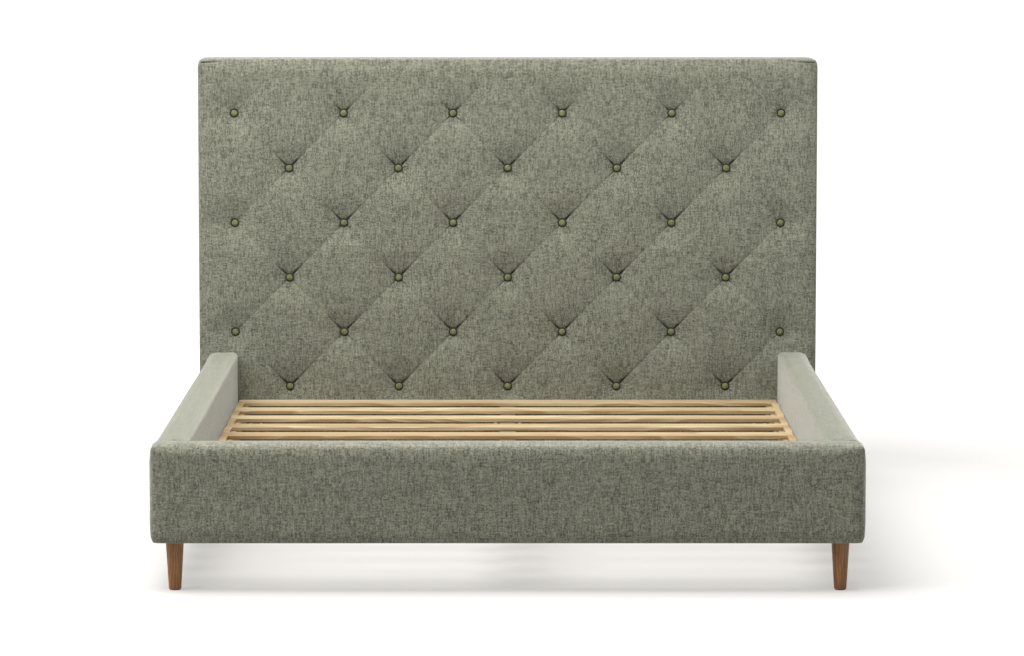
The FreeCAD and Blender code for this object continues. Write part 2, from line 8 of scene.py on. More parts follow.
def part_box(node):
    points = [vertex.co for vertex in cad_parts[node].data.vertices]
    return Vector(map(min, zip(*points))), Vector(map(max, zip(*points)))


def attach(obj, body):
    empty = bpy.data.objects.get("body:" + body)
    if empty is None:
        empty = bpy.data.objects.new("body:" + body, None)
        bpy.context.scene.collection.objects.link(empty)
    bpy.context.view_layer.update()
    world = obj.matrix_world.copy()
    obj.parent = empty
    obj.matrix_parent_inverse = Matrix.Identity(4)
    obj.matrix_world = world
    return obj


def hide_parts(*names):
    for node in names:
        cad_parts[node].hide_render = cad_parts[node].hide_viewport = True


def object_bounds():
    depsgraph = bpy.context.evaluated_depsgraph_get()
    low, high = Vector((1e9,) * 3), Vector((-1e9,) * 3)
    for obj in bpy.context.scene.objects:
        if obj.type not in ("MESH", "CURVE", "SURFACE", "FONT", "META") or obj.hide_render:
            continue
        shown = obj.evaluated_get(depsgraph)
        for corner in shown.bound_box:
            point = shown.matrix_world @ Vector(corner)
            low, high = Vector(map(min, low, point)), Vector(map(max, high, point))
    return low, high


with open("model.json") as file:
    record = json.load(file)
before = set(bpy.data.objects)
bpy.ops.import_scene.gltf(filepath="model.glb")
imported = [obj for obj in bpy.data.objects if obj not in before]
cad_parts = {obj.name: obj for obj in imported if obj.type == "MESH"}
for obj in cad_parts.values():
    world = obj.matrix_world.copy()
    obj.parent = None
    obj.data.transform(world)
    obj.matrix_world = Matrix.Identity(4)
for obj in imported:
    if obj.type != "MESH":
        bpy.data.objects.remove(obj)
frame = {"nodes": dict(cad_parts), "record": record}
CAD_LOW, CAD_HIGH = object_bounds()

# ---- Sizes in metres, read off the frame or named here ----
FACE_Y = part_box("headboard_cover")[0].y              # front of the headboard
HEAD_LOW, HEAD_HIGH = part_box("headboard_cover")
DECK_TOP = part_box("slat_01")[1].z
BUTTONS_LOW, BUTTONS_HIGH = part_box("tuft_buttons")
BUTTON_R = 0.011
TUFT_ROWS = 6
TUFT_X = (BUTTONS_HIGH.x - BUTTONS_LOW.x - 2 * BUTTON_R) / 10
TUFT_Z = (BUTTONS_HIGH.z - BUTTONS_LOW.z - 2 * BUTTON_R) / (TUFT_ROWS - 1)
TUFT_TOP = BUTTONS_HIGH.z - BUTTON_R
BUTTON_SEAT = BUTTONS_HIGH.y - FACE_Y                # how deep a button's back sits
GRID = 14                                            # cover's mesh steps between two button columns
EDGE_R = 0.010                                       # rounding of the headboard's front edge
CORNER_SHARE = 0.80                                  # how far the rim's corners reach: below 1 rounds them
HEM_W = 0.045                                        # cover turned over the back
HEM_DROP = 0.002                                     # the bend from the side into the hem
COVER_T = 0.0016
DUST_CLOTH_T = 0.0006
THREAD = 0.0014                                      # one yarn of the upholstery weave
CAP_R = BUTTON_R * 0.82                              # covered cap, its cloth drawn in round the rim
CAP_RISE = 0.0036
CAP_PROUD = 0.0018                                   # how far the cap's middle stands off its seat
BUTTON_REACH = 0.034                                 # finer mesh out to here round a button
CREASE_REACH = 0.0045                                # and out to here beside a crease
CELL = 0.08                                          # creases are looked up by squares of this size
PLY_T = 0.0015
STAPLE_PITCH = 0.060
STAPLE_MARGIN = 0.010                                # from the edge of the dust cloth
STAPLE_CROWN = 0.011
STAPLE_WIRE = (0.0011, 0.0009)                       # wide, thick


# ---- Materials: shader sums written as ordinary sums ----

class Value:
    """A socket of a finish, with the arithmetic that the finishes use."""

    def __init__(self, finish, socket):
        self.finish = finish
        self.socket = socket

    def sum(self, operation, *others):
        sockets = {i: v for i, v in enumerate((self,) + others)}
        return self.finish.node("ShaderNodeMath", {"operation": operation}, sockets)

    def __add__(self, other):
        return self.sum("ADD", other)

    def __rsub__(self, other):
        return self.finish.node("ShaderNodeMath", {"operation": "SUBTRACT"}, {0: other, 1: self})

    def __mul__(self, other):
        return self.sum("MULTIPLY", other)

    def __truediv__(self, other):
        return self.sum("DIVIDE", other)

    __radd__ = __add__
    __rmul__ = __mul__


class Finish:
    """One material, built node by node."""

    def __init__(self, name):
        self.material = bpy.data.materials.new(name)
        self.material.use_nodes = True
        self.tree = self.material.node_tree
        self.tree.nodes.clear()

    def node(self, kind, settings=None, sockets=None, out=0):
        """Adds a node, sets its settings, then gives its sockets values or links."""
        made = self.tree.nodes.new(kind)
        for key, value in (settings or {}).items():
            if key == "stops":
                self.set_stops(made.color_ramp, value)
            else:
                setattr(made, key, value)
        for key, value in (sockets or {}).items():
            socket = self.find(made.inputs, key)
            if isinstance(value, Value):
                self.tree.links.new(value.socket, socket)
            else:
                socket.default_value = value
        return Value(self, self.find(made.outputs, out)) if made.outputs else None

    @staticmethod
    def find(sockets, key):
        if isinstance(key, int):
            return sockets[key]
        for socket in sockets:
            if socket.identifier == key:
                return socket
        return sockets[key]

    @staticmethod
    def set_stops(ramp, stops):
        while len(ramp.elements) < len(stops):
            ramp.elements.new(0.5)
        for element, (place, colour) in zip(ramp.elements, stops):
            element.position = place
            element.color = (*colour, 1.0)

    def places(self):
        return self.node("ShaderNodeTexCoord", out="Object")

    def cloth_places(self):
        return self.node("ShaderNodeUVMap", {"uv_map": "weave"})

    def apart(self, vector):
        made = self.node("ShaderNodeSeparateXYZ", None, {0: vector})
        outputs = made.socket.node.outputs
        return [Value(self, outputs[i]) for i in range(3)]

    def together(self, x, y, z=0.0):
        return self.node("ShaderNodeCombineXYZ", None, {0: x, 1: y, 2: z})

    def noise(self, places, scale, detail=2.0, roughness=0.5, distortion=0.0):
        sockets = {"Vector": places, "Scale": scale, "Detail": detail,
                   "Roughness": roughness, "Distortion": distortion}
        return self.node("ShaderNodeTexNoise", None, sockets)

    def patches(self, u, v):
        """One random shade for every unit square of u and v: yarns dyed piece by piece."""
        cell = self.together(u.sum("FLOOR"), v.sum("FLOOR"))
        settings = {"noise_dimensions": "2D"}
        return self.node("ShaderNodeTexWhiteNoise", settings, {"Vector": cell}, out="Value")

    def ramp(self, value, stops):
        return self.node("ShaderNodeValToRGB", {"stops": stops}, {0: value})

    def mix(self, share, first, second, blend="MIX"):
        sockets = {"Factor_Float": share, "A_Color": first, "B_Color": second}
        settings = {"data_type": "RGBA", "blend_type": blend}
        return self.node("ShaderNodeMix", settings, sockets, out="Result_Color")

    def limit(self, value, low, high, to_low=0.0, to_high=1.0):
        sockets = {0: value, 1: low, 2: high, 3: to_low, 4: to_high}
        return self.node("ShaderNodeMapRange", {"clamp": True}, sockets)

    def bump(self, height, distance, strength=1.0):
        sockets = {"Height": height, "Distance": distance, "Strength": strength}
        return self.node("ShaderNodeBump", None, sockets)

    def surface(self, **sockets):
        """The one shader; keyword names are its sockets' names with _ for a space."""
        values = {name.replace("_", " "): value for name, value in sockets.items()}
        shader = self.node("ShaderNodeBsdfPrincipled", None, values)
        self.node("ShaderNodeOutputMaterial", None, {"Surface": shader})
        return self.material


def rgba(red, green, blue):
    return (red, green, blue, 1.0)


def woven(name, dark, light, sheen):
    """Heathered plain weave: every yarn has its own shade and its own slubs. Painted shade darkens the
    edges of each yarn and the cloth in its folds.
    """
    f = Finish(name)
    u, v, _ = f.apart(f.cloth_places())
    warp = u / THREAD
    weft = v / THREAD
    over = ((warp.sum("FLOOR") + weft.sum("FLOOR")) * 0.5).sum("FRACT") * 2.0
    warp_round = (warp * math.pi).sum("SINE").sum("ABSOLUTE")
    weft_round = (weft * math.pi).sum("SINE").sum("ABSOLUTE")
    yarn = over * warp_round + (1.0 - over) * weft_round

    warp_shade = f.patches(u * 350.0, v * 60.0)
    weft_shade = f.patches(u * 66.0, v * 350.0)
    fleck = f.patches(u * 350.0 + 0.3, v * 350.0 + 0.7)
    cloud = f.noise(f.together(u * 24.0, v * 9.0), 1.0, 3.0, 0.6)
    shade = warp_shade * 0.30 + weft_shade * 0.22 + fleck * 0.42 + cloud * 0.06
    shade = f.limit(shade, 0.04, 1.00)
    tint = f.noise(f.together(u * 90.0, v * 120.0), 1.0, 2.0, 0.6)

    colour = f.mix(shade, rgba(*dark), rgba(*light))
    rosy = f.limit(tint, 0.52, 0.72, 0.0, 0.5)
    colour = f.mix(rosy, colour, rgba(1.10, 0.98, 0.94), "MULTIPLY")
    # Painted shade: each yarn darkens towards its edges, where shade falls between the yarns.
    yarn_gap_shade = f.limit(yarn, 0.0, 0.9, 0.80, 1.0)
    colour = f.mix(1.0, colour, f.together(yarn_gap_shade, yarn_gap_shade, yarn_gap_shade), "MULTIPLY")

    # Painted shade: the cover's colour is darkened towards near black in its creases, round the button
    # rims and under the corner pleats, as the point attribute set on the cover says.
    painted_fold_shade_share = f.node("ShaderNodeAttribute", {"attribute_name": "fold"}, out="Fac")
    colour = f.mix(f.limit(painted_fold_shade_share, 0.10, 0.9, 0.0, 0.95), colour, rgba(0.010, 0.011, 0.006))
    slub = warp_shade * 0.5 + weft_shade * 0.5
    normal = f.bump(yarn + slub * 0.8, 0.0004, 0.55)
    return f.surface(Base_Color=colour, Roughness=0.93, Normal=normal, Specular_IOR_Level=0.18,
                     Sheen_Weight=sheen, Sheen_Roughness=0.38, Sheen_Tint=rgba(1.0, 0.99, 0.93))


def plain_cloth(name, colour, scale):
    """Felted backing cloth: short fibres pressed flat."""
    f = Finish(name)
    p = f.places()
    fibres = f.noise(p, scale, 4.0, 0.7, 1.2)
    patches = f.noise(p, 9.0, 3.0)
    shade = f.limit(fibres * 0.7 + patches * 0.3, 0.35, 0.68, 0.72, 1.25)
    tone = f.mix(1.0, rgba(*colour), f.together(shade, shade, shade), "MULTIPLY")
    return f.surface(Base_Color=tone, Roughness=0.95, Normal=f.bump(fibres, 0.0003, 0.6),
                     Sheen_Weight=0.15, Sheen_Roughness=0.5)


def foam(name):
    """Open-cell foam, yellowed in patches."""
    f = Finish(name)
    cells = f.node("ShaderNodeTexVoronoi", None, {"Vector": f.places(), "Scale": 600.0})
    patches = f.noise(f.places(), 14.0, 3.0)
    colour = f.ramp(patches, [(0.3, (0.70, 0.61, 0.38)), (0.7, (0.82, 0.75, 0.53))])
    return f.surface(Base_Color=colour, Roughness=0.9, Normal=f.bump(cells, 0.0006, 0.8))


def timber(name, early, late, knot, along, finish_rough, rings=95.0):
    """Sawn softwood: growth rings drawn out along the board, cathedrals and a few knots."""
    f = Finish(name)
    x, y, depth = f.apart(f.places())
    length, across = (x, y) if along == "x" else (y, x)
    drift = f.noise(f.together(length * 0.9, across * 6.0, depth * 6.0), 1.0, 3.0, 0.5)
    waver = f.noise(f.together(length * 3.2, across * 11.0, depth * 16.0), 1.0, 2.0, 0.5)
    bands = (across + depth * 0.6) * rings + drift * 13.0 + waver * 2.4
    saw = bands.sum("FRACT")
    ring = f.limit(saw, 0.0, 0.78) * f.limit(saw, 1.0, 0.86)
    fibre = f.noise(f.together(length * 26.0, across * 900.0, depth * 900.0), 1.0, 3.0, 0.6)
    knots = f.node("ShaderNodeTexVoronoi", None,
                   {"Vector": f.together(length * 2.2, across * 9.0, depth * 9.0), "Scale": 1.0})
    knotty = f.limit(knots, 0.05, 0.12, 0.8, 0.0)
    tone = f.noise(f.together(length * 0.7, across * 9.0, depth * 4.0), 1.0, 1.0)
    shade = ring * 0.55 + f.limit(fibre, 0.3, 0.75) * 0.28 + f.limit(tone, 0.35, 0.65) * 0.45
    colour = f.mix(f.limit(shade, 0.05, 0.95), rgba(*early), rgba(*late))
    colour = f.mix(knotty, colour, rgba(*knot))
    rough = f.limit(fibre, 0.3, 0.7, finish_rough - 0.06, finish_rough + 0.08)
    normal = f.bump(fibre * 0.6 + ring * 0.4, 0.0003, 0.45)
    return f.surface(Base_Color=colour, Roughness=rough, Normal=normal, Specular_IOR_Level=0.4)


def walnut(name):
    """Stained and lacquered leg: close dark grain up the leg, with pores."""
    f = Finish(name)
    x, y, z = f.apart(f.places())
    sway = f.noise(f.together(x * 24.0, y * 24.0, z * 7.0), 1.0, 3.0, 0.55)
    bands = ((x + y * 0.35) * 150.0 + sway * 5.0).sum("FRACT")
    line = f.limit(bands, 0.05, 0.6) * f.limit(bands, 1.0, 0.75)
    pores = f.noise(f.together(x * 1500.0, y * 1500.0, z * 60.0), 1.0, 3.0, 0.7)
    figure = f.noise(f.together(x * 60.0, y * 60.0, z * 12.0), 1.0, 4.0, 0.6)
    shade = line * 0.35 + f.limit(figure, 0.3, 0.7) * 0.45 + f.limit(pores, 0.35, 0.65) * 0.25
    colour = f.ramp(shade, [(0.05, (0.075, 0.029, 0.008)), (0.45, (0.150, 0.064, 0.019)),
                            (0.95, (0.240, 0.115, 0.040))])
    return f.surface(Base_Color=colour, Roughness=f.limit(figure, 0.3, 0.7, 0.42, 0.56),
                     Normal=f.bump(pores, 0.0002, 0.35), Coat_Weight=0.06, Coat_Roughness=0.3,
                     Specular_IOR_Level=0.3)


def plywood(name):
    """Birch ply: fine face grain and the plies' edges."""
    f = Finish(name)
    x, y, z = f.apart(f.places())
    plies = f.node("ShaderNodeMath", {"operation": "PINGPONG"}, {0: y, 1: PLY_T}) / PLY_T
    grain = f.noise(f.together(x * 3.0, y * 500.0, z * 90.0), 1.0, 4.0, 0.6, 0.4)
    shade = f.limit(grain, 0.3, 0.7) * 0.7 + f.limit(plies, 0.45, 0.55) * 0.3
    colour = f.mix(shade, rgba(0.58, 0.42, 0.24), rgba(0.74, 0.59, 0.38))
    return f.surface(Base_Color=colour, Roughness=0.62, Normal=f.bump(grain, 0.0002, 0.4))


def metal(name, colour, metallic, rough, speckle):
    """Plated or painted steel: cloudy plating and orange peel."""
    f = Finish(name)
    clouds = f.noise(f.places(), 90.0, 4.0, 0.6)
    peel = f.noise(f.places(), speckle, 2.0, 0.5)
    shade = f.limit(clouds, 0.3, 0.7, 0.82, 1.12)
    tone = f.mix(1.0, rgba(*colour), f.together(shade, shade, shade), "MULTIPLY")
    return f.surface(Base_Color=tone, Metallic=metallic, Normal=f.bump(peel, 0.0001, 0.3),
                     Roughness=f.limit(clouds, 0.3, 0.7, rough - 0.07, rough + 0.09))


def plastic(name, colour):
    """Moulded plastic with a fine grain, paler where it is worn."""
    f = Finish(name)
    grain = f.noise(f.places(), 900.0, 3.0, 0.6)
    wear = f.noise(f.places(), 60.0, 4.0, 0.6)
    shade = f.limit(wear, 0.3, 0.7, 0.8, 1.25)
    tone = f.mix(1.0, rgba(*colour), f.together(shade, shade, shade), "MULTIPLY")
    return f.surface(Base_Color=tone, Roughness=0.55, Normal=f.bump(grain, 0.0001, 0.5))


def twine(name):
    """Twisted strands."""
    f = Finish(name)
    strands = f.node("ShaderNodeTexWave", {"bands_direction": "DIAGONAL"},
                     {"Vector": f.places(), "Scale": 260.0, "Distortion": 1.0, "Detail": 2.0})
    colour = f.mix(strands, rgba(0.42, 0.36, 0.26), rgba(0.66, 0.60, 0.46))
    return f.surface(Base_Color=colour, Roughness=0.8, Normal=f.bump(strands, 0.0002, 0.8))


def make_finishes():
    return {
        "upholstery_fabric": woven("upholstery weave", (0.032, 0.035, 0.024), (0.230, 0.232, 0.181), 0.40),
        "button_fabric": woven("button weave", (0.062, 0.068, 0.031), (0.168, 0.175, 0.086), 0.08),
        "back_cloth": plain_cloth("backing cloth", (0.035, 0.035, 0.034), 420.0),
        "foam": foam("upholstery foam"),
        "twine": twine("waxed twine"),
        "pine": timber("sanded pine", (0.400, 0.318, 0.190), (0.200, 0.132, 0.058), (0.22, 0.10, 0.03),
                       "x", 0.55, 38.0),
        "rail_pine": timber("sanded pine along the rails", (0.290, 0.220, 0.125), (0.180, 0.120, 0.060),
                            (0.20, 0.10, 0.04), "y", 0.55),
        # Painted shade: this softwood is made nearly black so that the frame timber under the slats looks
        # in shade.
        "frame_timber": timber("softwood darkened as painted shade", (0.088, 0.066, 0.038), (0.055, 0.038, 0.020),
                               (0.07, 0.04, 0.02), "y", 0.6, 70.0),
        "plywood": plywood("birch plywood"),
        "walnut": walnut("walnut lacquer"),
        "zinc_steel": metal("zinc plate", (0.62, 0.62, 0.58), 1.0, 0.36, 700.0),
        "black_steel": metal("black powder coat", (0.016, 0.016, 0.017), 0.0, 0.5, 1400.0),
        "glide_plastic": plastic("moulded nylon", (0.030, 0.022, 0.016)),
    }


def dress_frame(finishes):
    """Gives every CAD node the finish its slot names; ledgers have their grain along the rails."""
    for entry in frame["record"]["subparts"]:
        node = frame["nodes"][entry["node"]]
        finish = entry["material_slot"]
        if entry["node"].startswith("ledger_") and finish == "pine":
            finish = "rail_pine"
        node.data.materials.clear()
        node.data.materials.append(finishes[finish])


# ---- Mesh helpers ----

def piece_from(name, bm, smooth=True):
    """Turns a bmesh into a piece whose faces point outwards."""
    bmesh.ops.remove_doubles(bm, verts=bm.verts, dist=1e-6)
    bmesh.ops.recalc_face_normals(bm, faces=bm.faces)
    mesh = bpy.data.meshes.new(name)
    bm.to_mesh(mesh)
    bm.free()
    if smooth:
        mesh.shade_smooth()
    else:
        mesh.shade_flat()
    piece = bpy.data.objects.new(name, mesh)
    bpy.context.scene.collection.objects.link(piece)
    return piece


def finish_piece(piece, finish, nodes, body="bed_frame"):
    """Gives a piece its finish and slot, hides the CAD nodes it stands for and attaches it to the body it
    rides on.
    """
    piece.data.materials.clear()
    piece.data.materials.append(finish)
    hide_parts(*nodes)
    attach(piece, body)


def lay_weave(piece, turned=False):
    """UVs in metres, so that the weave runs square across each side of a piece."""
    mesh = piece.data
    layer = mesh.uv_layers.get("weave") or mesh.uv_layers.new(name="weave")
    for face in mesh.polygons:
        n = face.normal
        size = (abs(n.x), abs(n.y), abs(n.z))
        for loop in face.loop_indices:
            p = mesh.vertices[mesh.loops[loop].vertex_index].co
            if size[1] >= size[0] and size[1] >= size[2]:
                place = (p.x, p.z)
            elif size[2] >= size[0]:
                place = (p.x, p.y)
            else:
                place = (p.y, p.z)
            layer.data[loop].uv = (place[1], place[0]) if turned else place


def evaluated_points(piece):
    """The piece's points with its modifiers at work."""
    graph = bpy.context.evaluated_depsgraph_get()
    return [v.co.copy() for v in piece.evaluated_get(graph).data.vertices]


def relax_cloth(piece, held, pressure, most, frames=20, slack=0.0, stiffness=12.0):
    """Lets a cover fill out under pressure; no point moves further than most."""
    group = piece.vertex_groups.new(name="held")
    group.add(held, 1.0, "REPLACE")
    start = [v.co.copy() for v in piece.data.vertices]
    cloth = piece.modifiers.new("cloth", "CLOTH")
    settings = cloth.settings
    settings.quality = 3
    settings.mass = 0.3
    settings.tension_stiffness = stiffness
    settings.compression_stiffness = stiffness
    settings.shear_stiffness = stiffness * 0.5
    settings.bending_stiffness = 0.3
    settings.vertex_group_mass = "held"
    settings.use_pressure = True
    settings.uniform_pressure_force = pressure
    settings.shrink_min = -slack
    settings.effector_weights.gravity = 0.0
    cloth.point_cache.frame_start = 1
    cloth.point_cache.frame_end = frames
    for step in range(1, frames + 1):
        bpy.context.scene.frame_set(step)
    ends = evaluated_points(piece)
    piece.modifiers.remove(cloth)
    piece.vertex_groups.remove(group)
    for vertex, first, last in zip(piece.data.vertices, start, ends):
        move = last - first
        if move.length > most:
            move.length = most
        vertex.co = first + move
    bpy.context.scene.frame_set(1)


def apply_subdivision(piece, levels):
    """Catmull-Clark on the mesh itself."""
    modifier = piece.modifiers.new("fine", "SUBSURF")
    modifier.levels = levels
    modifier.render_levels = levels
    graph = bpy.context.evaluated_depsgraph_get()
    mesh = bpy.data.meshes.new_from_object(piece.evaluated_get(graph))
    piece.modifiers.remove(modifier)
    old = piece.data
    piece.data = mesh
    bpy.data.meshes.remove(old)
    mesh.name = piece.name


# ---- Tufting ----

def tuft_spots():
    """Button centres (x, z), rows of six and five by turns."""
    spots = []
    for row in range(TUFT_ROWS):
        z = TUFT_TOP - row * TUFT_Z
        steps = (-5, -3, -1, 1, 3, 5) if row % 2 == 0 else (-4, -2, 0, 2, 4)
        for step in steps:
            spots.append(Vector((step * TUFT_X, z)))
    return spots


def tuft_creases():
    """Each crease as (start, end, fold at the start, fold at the end, valley between them)."""
    spots = tuft_spots()
    outer = 4.5 * TUFT_X
    creases = []
    for a in spots:
        for way in (-1, 1):
            b = a + Vector((way * TUFT_X, -TUFT_Z))
            if any((b - c).length < 0.01 for c in spots):
                start = 0.15 if abs(a.x) > outer else 0.60
                end = 0.25 if abs(b.x) > outer else 1.0
                creases.append((a, b, start, end, 1.0 if way < 0 else 0.55))
    for a in spots[:6]:
        for way in (-1, 1):
            outward = way * a.x > outer
            reach = 0.25 if outward else 0.75
            start = 0.25 if abs(a.x) > outer else 1.0
            b = a + Vector((way * TUFT_X, TUFT_Z)) * reach
            creases.append((a, b, start, 0.0, 0.35 if outward else 0.8))
    return creases


def in_cells(creases):
    """The creases listed by each square of the face that they pass near."""
    cells = {}
    for crease in creases:
        a, b = crease[:2]
        columns = [int(math.floor(x / CELL)) for x in (min(a.x, b.x) - CELL, max(a.x, b.x) + CELL)]
        rows = [int(math.floor(z / CELL)) for z in (min(a.y, b.y) - CELL, max(a.y, b.y) + CELL)]
        for i in range(columns[0], columns[1] + 1):
            for j in range(rows[0], rows[1] + 1):
                cells.setdefault((i, j), []).append(crease)
    return cells


SPOTS = tuft_spots()
CREASES = in_cells(tuft_creases())


def near_creases(point):
    """The creases that pass near a point of the face."""
    return CREASES.get((int(math.floor(point.x / CELL)), int(math.floor(point.y / CELL))), [])


def crease_share(point, crease):
    """Place along a crease from 0 to 1, and distance from it."""
    a, b = crease[:2]
    line = b - a
    along = (point - a).dot(line) / line.length_squared
    along = min(max(along, 0.0), 1.0)
    return along, (point - a - line * along).length


def near_spots(point, reach):
    """The buttons about within reach, each with its distance."""
    close = [s for s in SPOTS if abs(s.x - point.x) < reach and abs(s.y - point.y) < reach]
    return [(s, (point - s).length) for s in close]


def broad_depth(point):
    """The pull of the buttons and the shallow valleys between them."""
    depth = 0.0
    for _, distance in near_spots(point, 0.14):
        depth = max(depth, 0.0078 * math.exp(-(distance / 0.036) ** 1.3))
    deepest = 0.0
    for crease in near_creases(point):
        end_fold, valley = crease[3:]
        along, distance = crease_share(point, crease)
        strength = 1 - along
        if end_fold > 0:
            strength = 0.42 + 0.58 * abs(1 - 2 * along)
        deepest = max(deepest, 0.0058 * valley * strength * math.exp(-(distance / 0.024) ** 1.15))
    return depth + deepest


def fine_fold(point):
    """Tight gathers at the buttons as (depth, painted shade): folds on the creases and puckers, with
    painted shade darkening the pucker hollows and the sharp ends of the creases.
    """
    depth = 0.0
    fold = 0.0
    for spot, distance in near_spots(point, 0.05):
        angle = math.atan2(point.y - spot.y, point.x - spot.x)
        seed = spot.x * 31 + spot.y * 17
        rays = math.sin(angle * 13 + seed) * 0.5 + math.sin(angle * 21 + seed * 2) * 0.5
        ring = math.exp(-((distance - 0.018) / 0.008) ** 2)
        depth += 0.0011 * rays * ring
        # Painted shade in the hollows of the puckers.
        fold = max(fold, 0.55 * max(rays, 0.0) * ring)
    for crease in near_creases(point):
        a, b, start_fold, end_fold, valley = crease
        along, distance = crease_share(point, crease)
        if distance < 0.02:
            length = (b - a).length
            from_start = along * length
            from_end = (1 - along) * length
            sharp = start_fold * math.exp(-from_start / 0.019) + end_fold * math.exp(-from_end / 0.029)
            shape = math.exp(-(distance / (0.0017 + 0.0031 * min(sharp, 1.0))) ** 1.6)
            depth += (0.0090 * sharp + 0.0008 * valley) * shape
            # Painted shade along the sharp ends of the creases.
            fold = max(fold, min(sharp * 2.6, 1.0) * shape)
    return depth, fold


def button_seat(point, depth):
    """Draws the cover down to the seat under a button; returns the depth and how much painted shade
    darkens the cloth at the rim.
    """
    for _, distance in near_spots(point, 0.02):
        if distance < BUTTON_R + 0.004:
            share = min(max((BUTTON_R + 0.004 - distance) / 0.0035, 0.0), 1.0)
            # The same share is the painted shade round the button's rim.
            return depth + (BUTTON_SEAT - depth) * share, share
    return depth, 0.0


def push_rim(bm, edges, home, spread, back):
    """Extrudes an open rim by spread (x, up, down) outwards and by back; returns the new rim."""
    half, low, high = home
    made = bmesh.ops.extrude_edge_only(bm, edges=edges)["geom"]
    for vert in (g for g in made if isinstance(g, bmesh.types.BMVert)):
        right = (vert.co.x > half - 1e-4) - (vert.co.x < -half + 1e-4)
        above = vert.co.z > high - 1e-4
        below = vert.co.z < low + 1e-4
        corner = CORNER_SHARE if right and (above or below) else 1.0
        rise = above * spread[1] - below * spread[2]
        vert.co += Vector((right * spread[0] * corner, back, rise * corner))
    return [g for g in made if isinstance(g, bmesh.types.BMEdge) and g.is_boundary]


def headboard_sheet():
    """The cover as one sheet: a fine grid in front, rounded edges, sides, and a hem behind."""
    step_x = TUFT_X / GRID
    step_z = TUFT_Z / GRID
    columns = 2 * int((HEAD_HIGH.x - EDGE_R * 0.8) / step_x)
    high = TUFT_TOP + TUFT_Z - step_z
    rows = int((high - HEAD_LOW.z - EDGE_R * 0.9) / step_z)
    low = high - rows * step_z
    half = columns * step_x / 2
    bm = bmesh.new()
    bmesh.ops.create_grid(bm, x_segments=columns, y_segments=rows, size=0.5)
    bmesh.ops.scale(bm, vec=(columns * step_x, rows * step_z, 1), verts=bm.verts)
    bmesh.ops.rotate(bm, matrix=Matrix.Rotation(math.pi / 2, 3, "X"), verts=bm.verts)
    bmesh.ops.translate(bm, vec=(0, FACE_Y, (low + high) / 2), verts=bm.verts)
    rim = [e for e in bm.edges if e.is_boundary]
    room = (HEAD_HIGH.x - half, HEAD_HIGH.z - high, low - HEAD_LOW.z)
    home = (half, low, high)
    turns = 4
    for turn in range(turns):
        a0 = math.pi / 2 * turn / turns
        a1 = math.pi / 2 * (turn + 1) / turns
        share = math.sin(a1) - math.sin(a0)
        back = EDGE_R * (math.cos(a0) - math.cos(a1))
        rim = push_rim(bm, rim, home, [r * share for r in room], back)
    depth = HEAD_HIGH.y - FACE_Y - EDGE_R - HEM_DROP
    steps = 7
    for _ in range(steps):
        rim = push_rim(bm, rim, home, (0, 0, 0), depth / steps)
    rim = push_rim(bm, rim, home, (-0.0015, -0.0015, -0.0015), HEM_DROP)
    push_rim(bm, rim, home, (-HEM_W, -HEM_W, -HEM_W), 0.0)
    return bm


def finer_faces(piece, wanted, cuts):
    """Cuts the wanted faces of the headboard's front into a finer grid."""
    bm = bmesh.new()
    bm.from_mesh(piece.data)
    edges = set()
    for face in bm.faces:
        middle = face.calc_center_median()
        if middle.y < FACE_Y + 0.02 and wanted(Vector((middle.x, middle.z))):
            edges.update(face.edges)
    bmesh.ops.subdivide_edges(bm, edges=list(edges), cuts=cuts, use_grid_fill=True)
    bm.to_mesh(piece.data)
    bm.free()


def at_button(spot):
    close = near_spots(spot, BUTTON_REACH)
    return any(distance < BUTTON_REACH for _, distance in close) or at_corner(spot)


def at_crease(spot):
    if at_button(spot):
        return False
    return any(crease_share(spot, crease)[1] < CREASE_REACH for crease in near_creases(spot))


def at_corner(spot):
    return abs(spot.x) > HEAD_HIGH.x - 0.08 and spot.y > HEAD_HIGH.z - 0.025


def corner_pleat(point):
    """The short fold under the top edge where the cover is gathered round each top corner."""
    run = HEAD_HIGH.x - 0.010 - abs(point.x)
    drop = HEAD_HIGH.z - 0.0125 + run * 0.03 - point.y
    if run < 0 or run > 0.09 or abs(drop) > 0.02:
        return 0.0
    return math.exp(-(drop / 0.0022) ** 2) * (1 - run / 0.09)


def make_headboard(finishes):
    """The tufted cover: broad pull first, then the cloth relaxes, then fine folds and button seats, with
    painted shade in the folds, at the button rims and under the corner pleats.
    """
    piece = piece_from("headboard_tufted_cover", headboard_sheet())
    mesh = piece.data
    held = []
    for vertex in mesh.vertices:
        spot = Vector((vertex.co.x, vertex.co.z))
        if vertex.co.y > FACE_Y + 0.001 or any(d < BUTTON_R for _, d in near_spots(spot, BUTTON_R)):
            held.append(vertex.index)
        if vertex.co.y < FACE_Y + 0.001:
            vertex.co.y += broad_depth(spot)
    relax_cloth(piece, held, 3.0, 0.0045, slack=0.004)
    apply_subdivision(piece, 1)
    finer_faces(piece, at_button, 2)
    finer_faces(piece, at_crease, 1)
    # Painted shade: a point attribute that darkens the cover's colour in folds, at the button rims and
    # under the corner pleats.
    painted_fold_shade_layer = piece.data.attributes.new("fold", "FLOAT", "POINT")
    for vertex in piece.data.vertices:
        if vertex.co.y < FACE_Y + 0.03:
            spot = Vector((vertex.co.x, vertex.co.z))
            depth, fold = fine_fold(spot)
            pleat = corner_pleat(spot)
            lumps = noise.noise(Vector((spot.x * 9, spot.y * 9, 3.0))) * 0.0006
            depth, rim = button_seat(spot, vertex.co.y - FACE_Y + depth + lumps + 0.003 * pleat)
            vertex.co.y = FACE_Y + depth
            painted_fold_shade_layer.data[vertex.index].value = min(max(fold, pleat * 0.8, rim), 1.0)
    piece.data.shade_smooth()
    lay_weave(piece)
    thick = piece.modifiers.new("thick", "SOLIDIFY")
    thick.thickness = COVER_T
    thick.offset = -1.0
    finish_piece(piece, finishes["upholstery_fabric"], ["headboard_cover"])


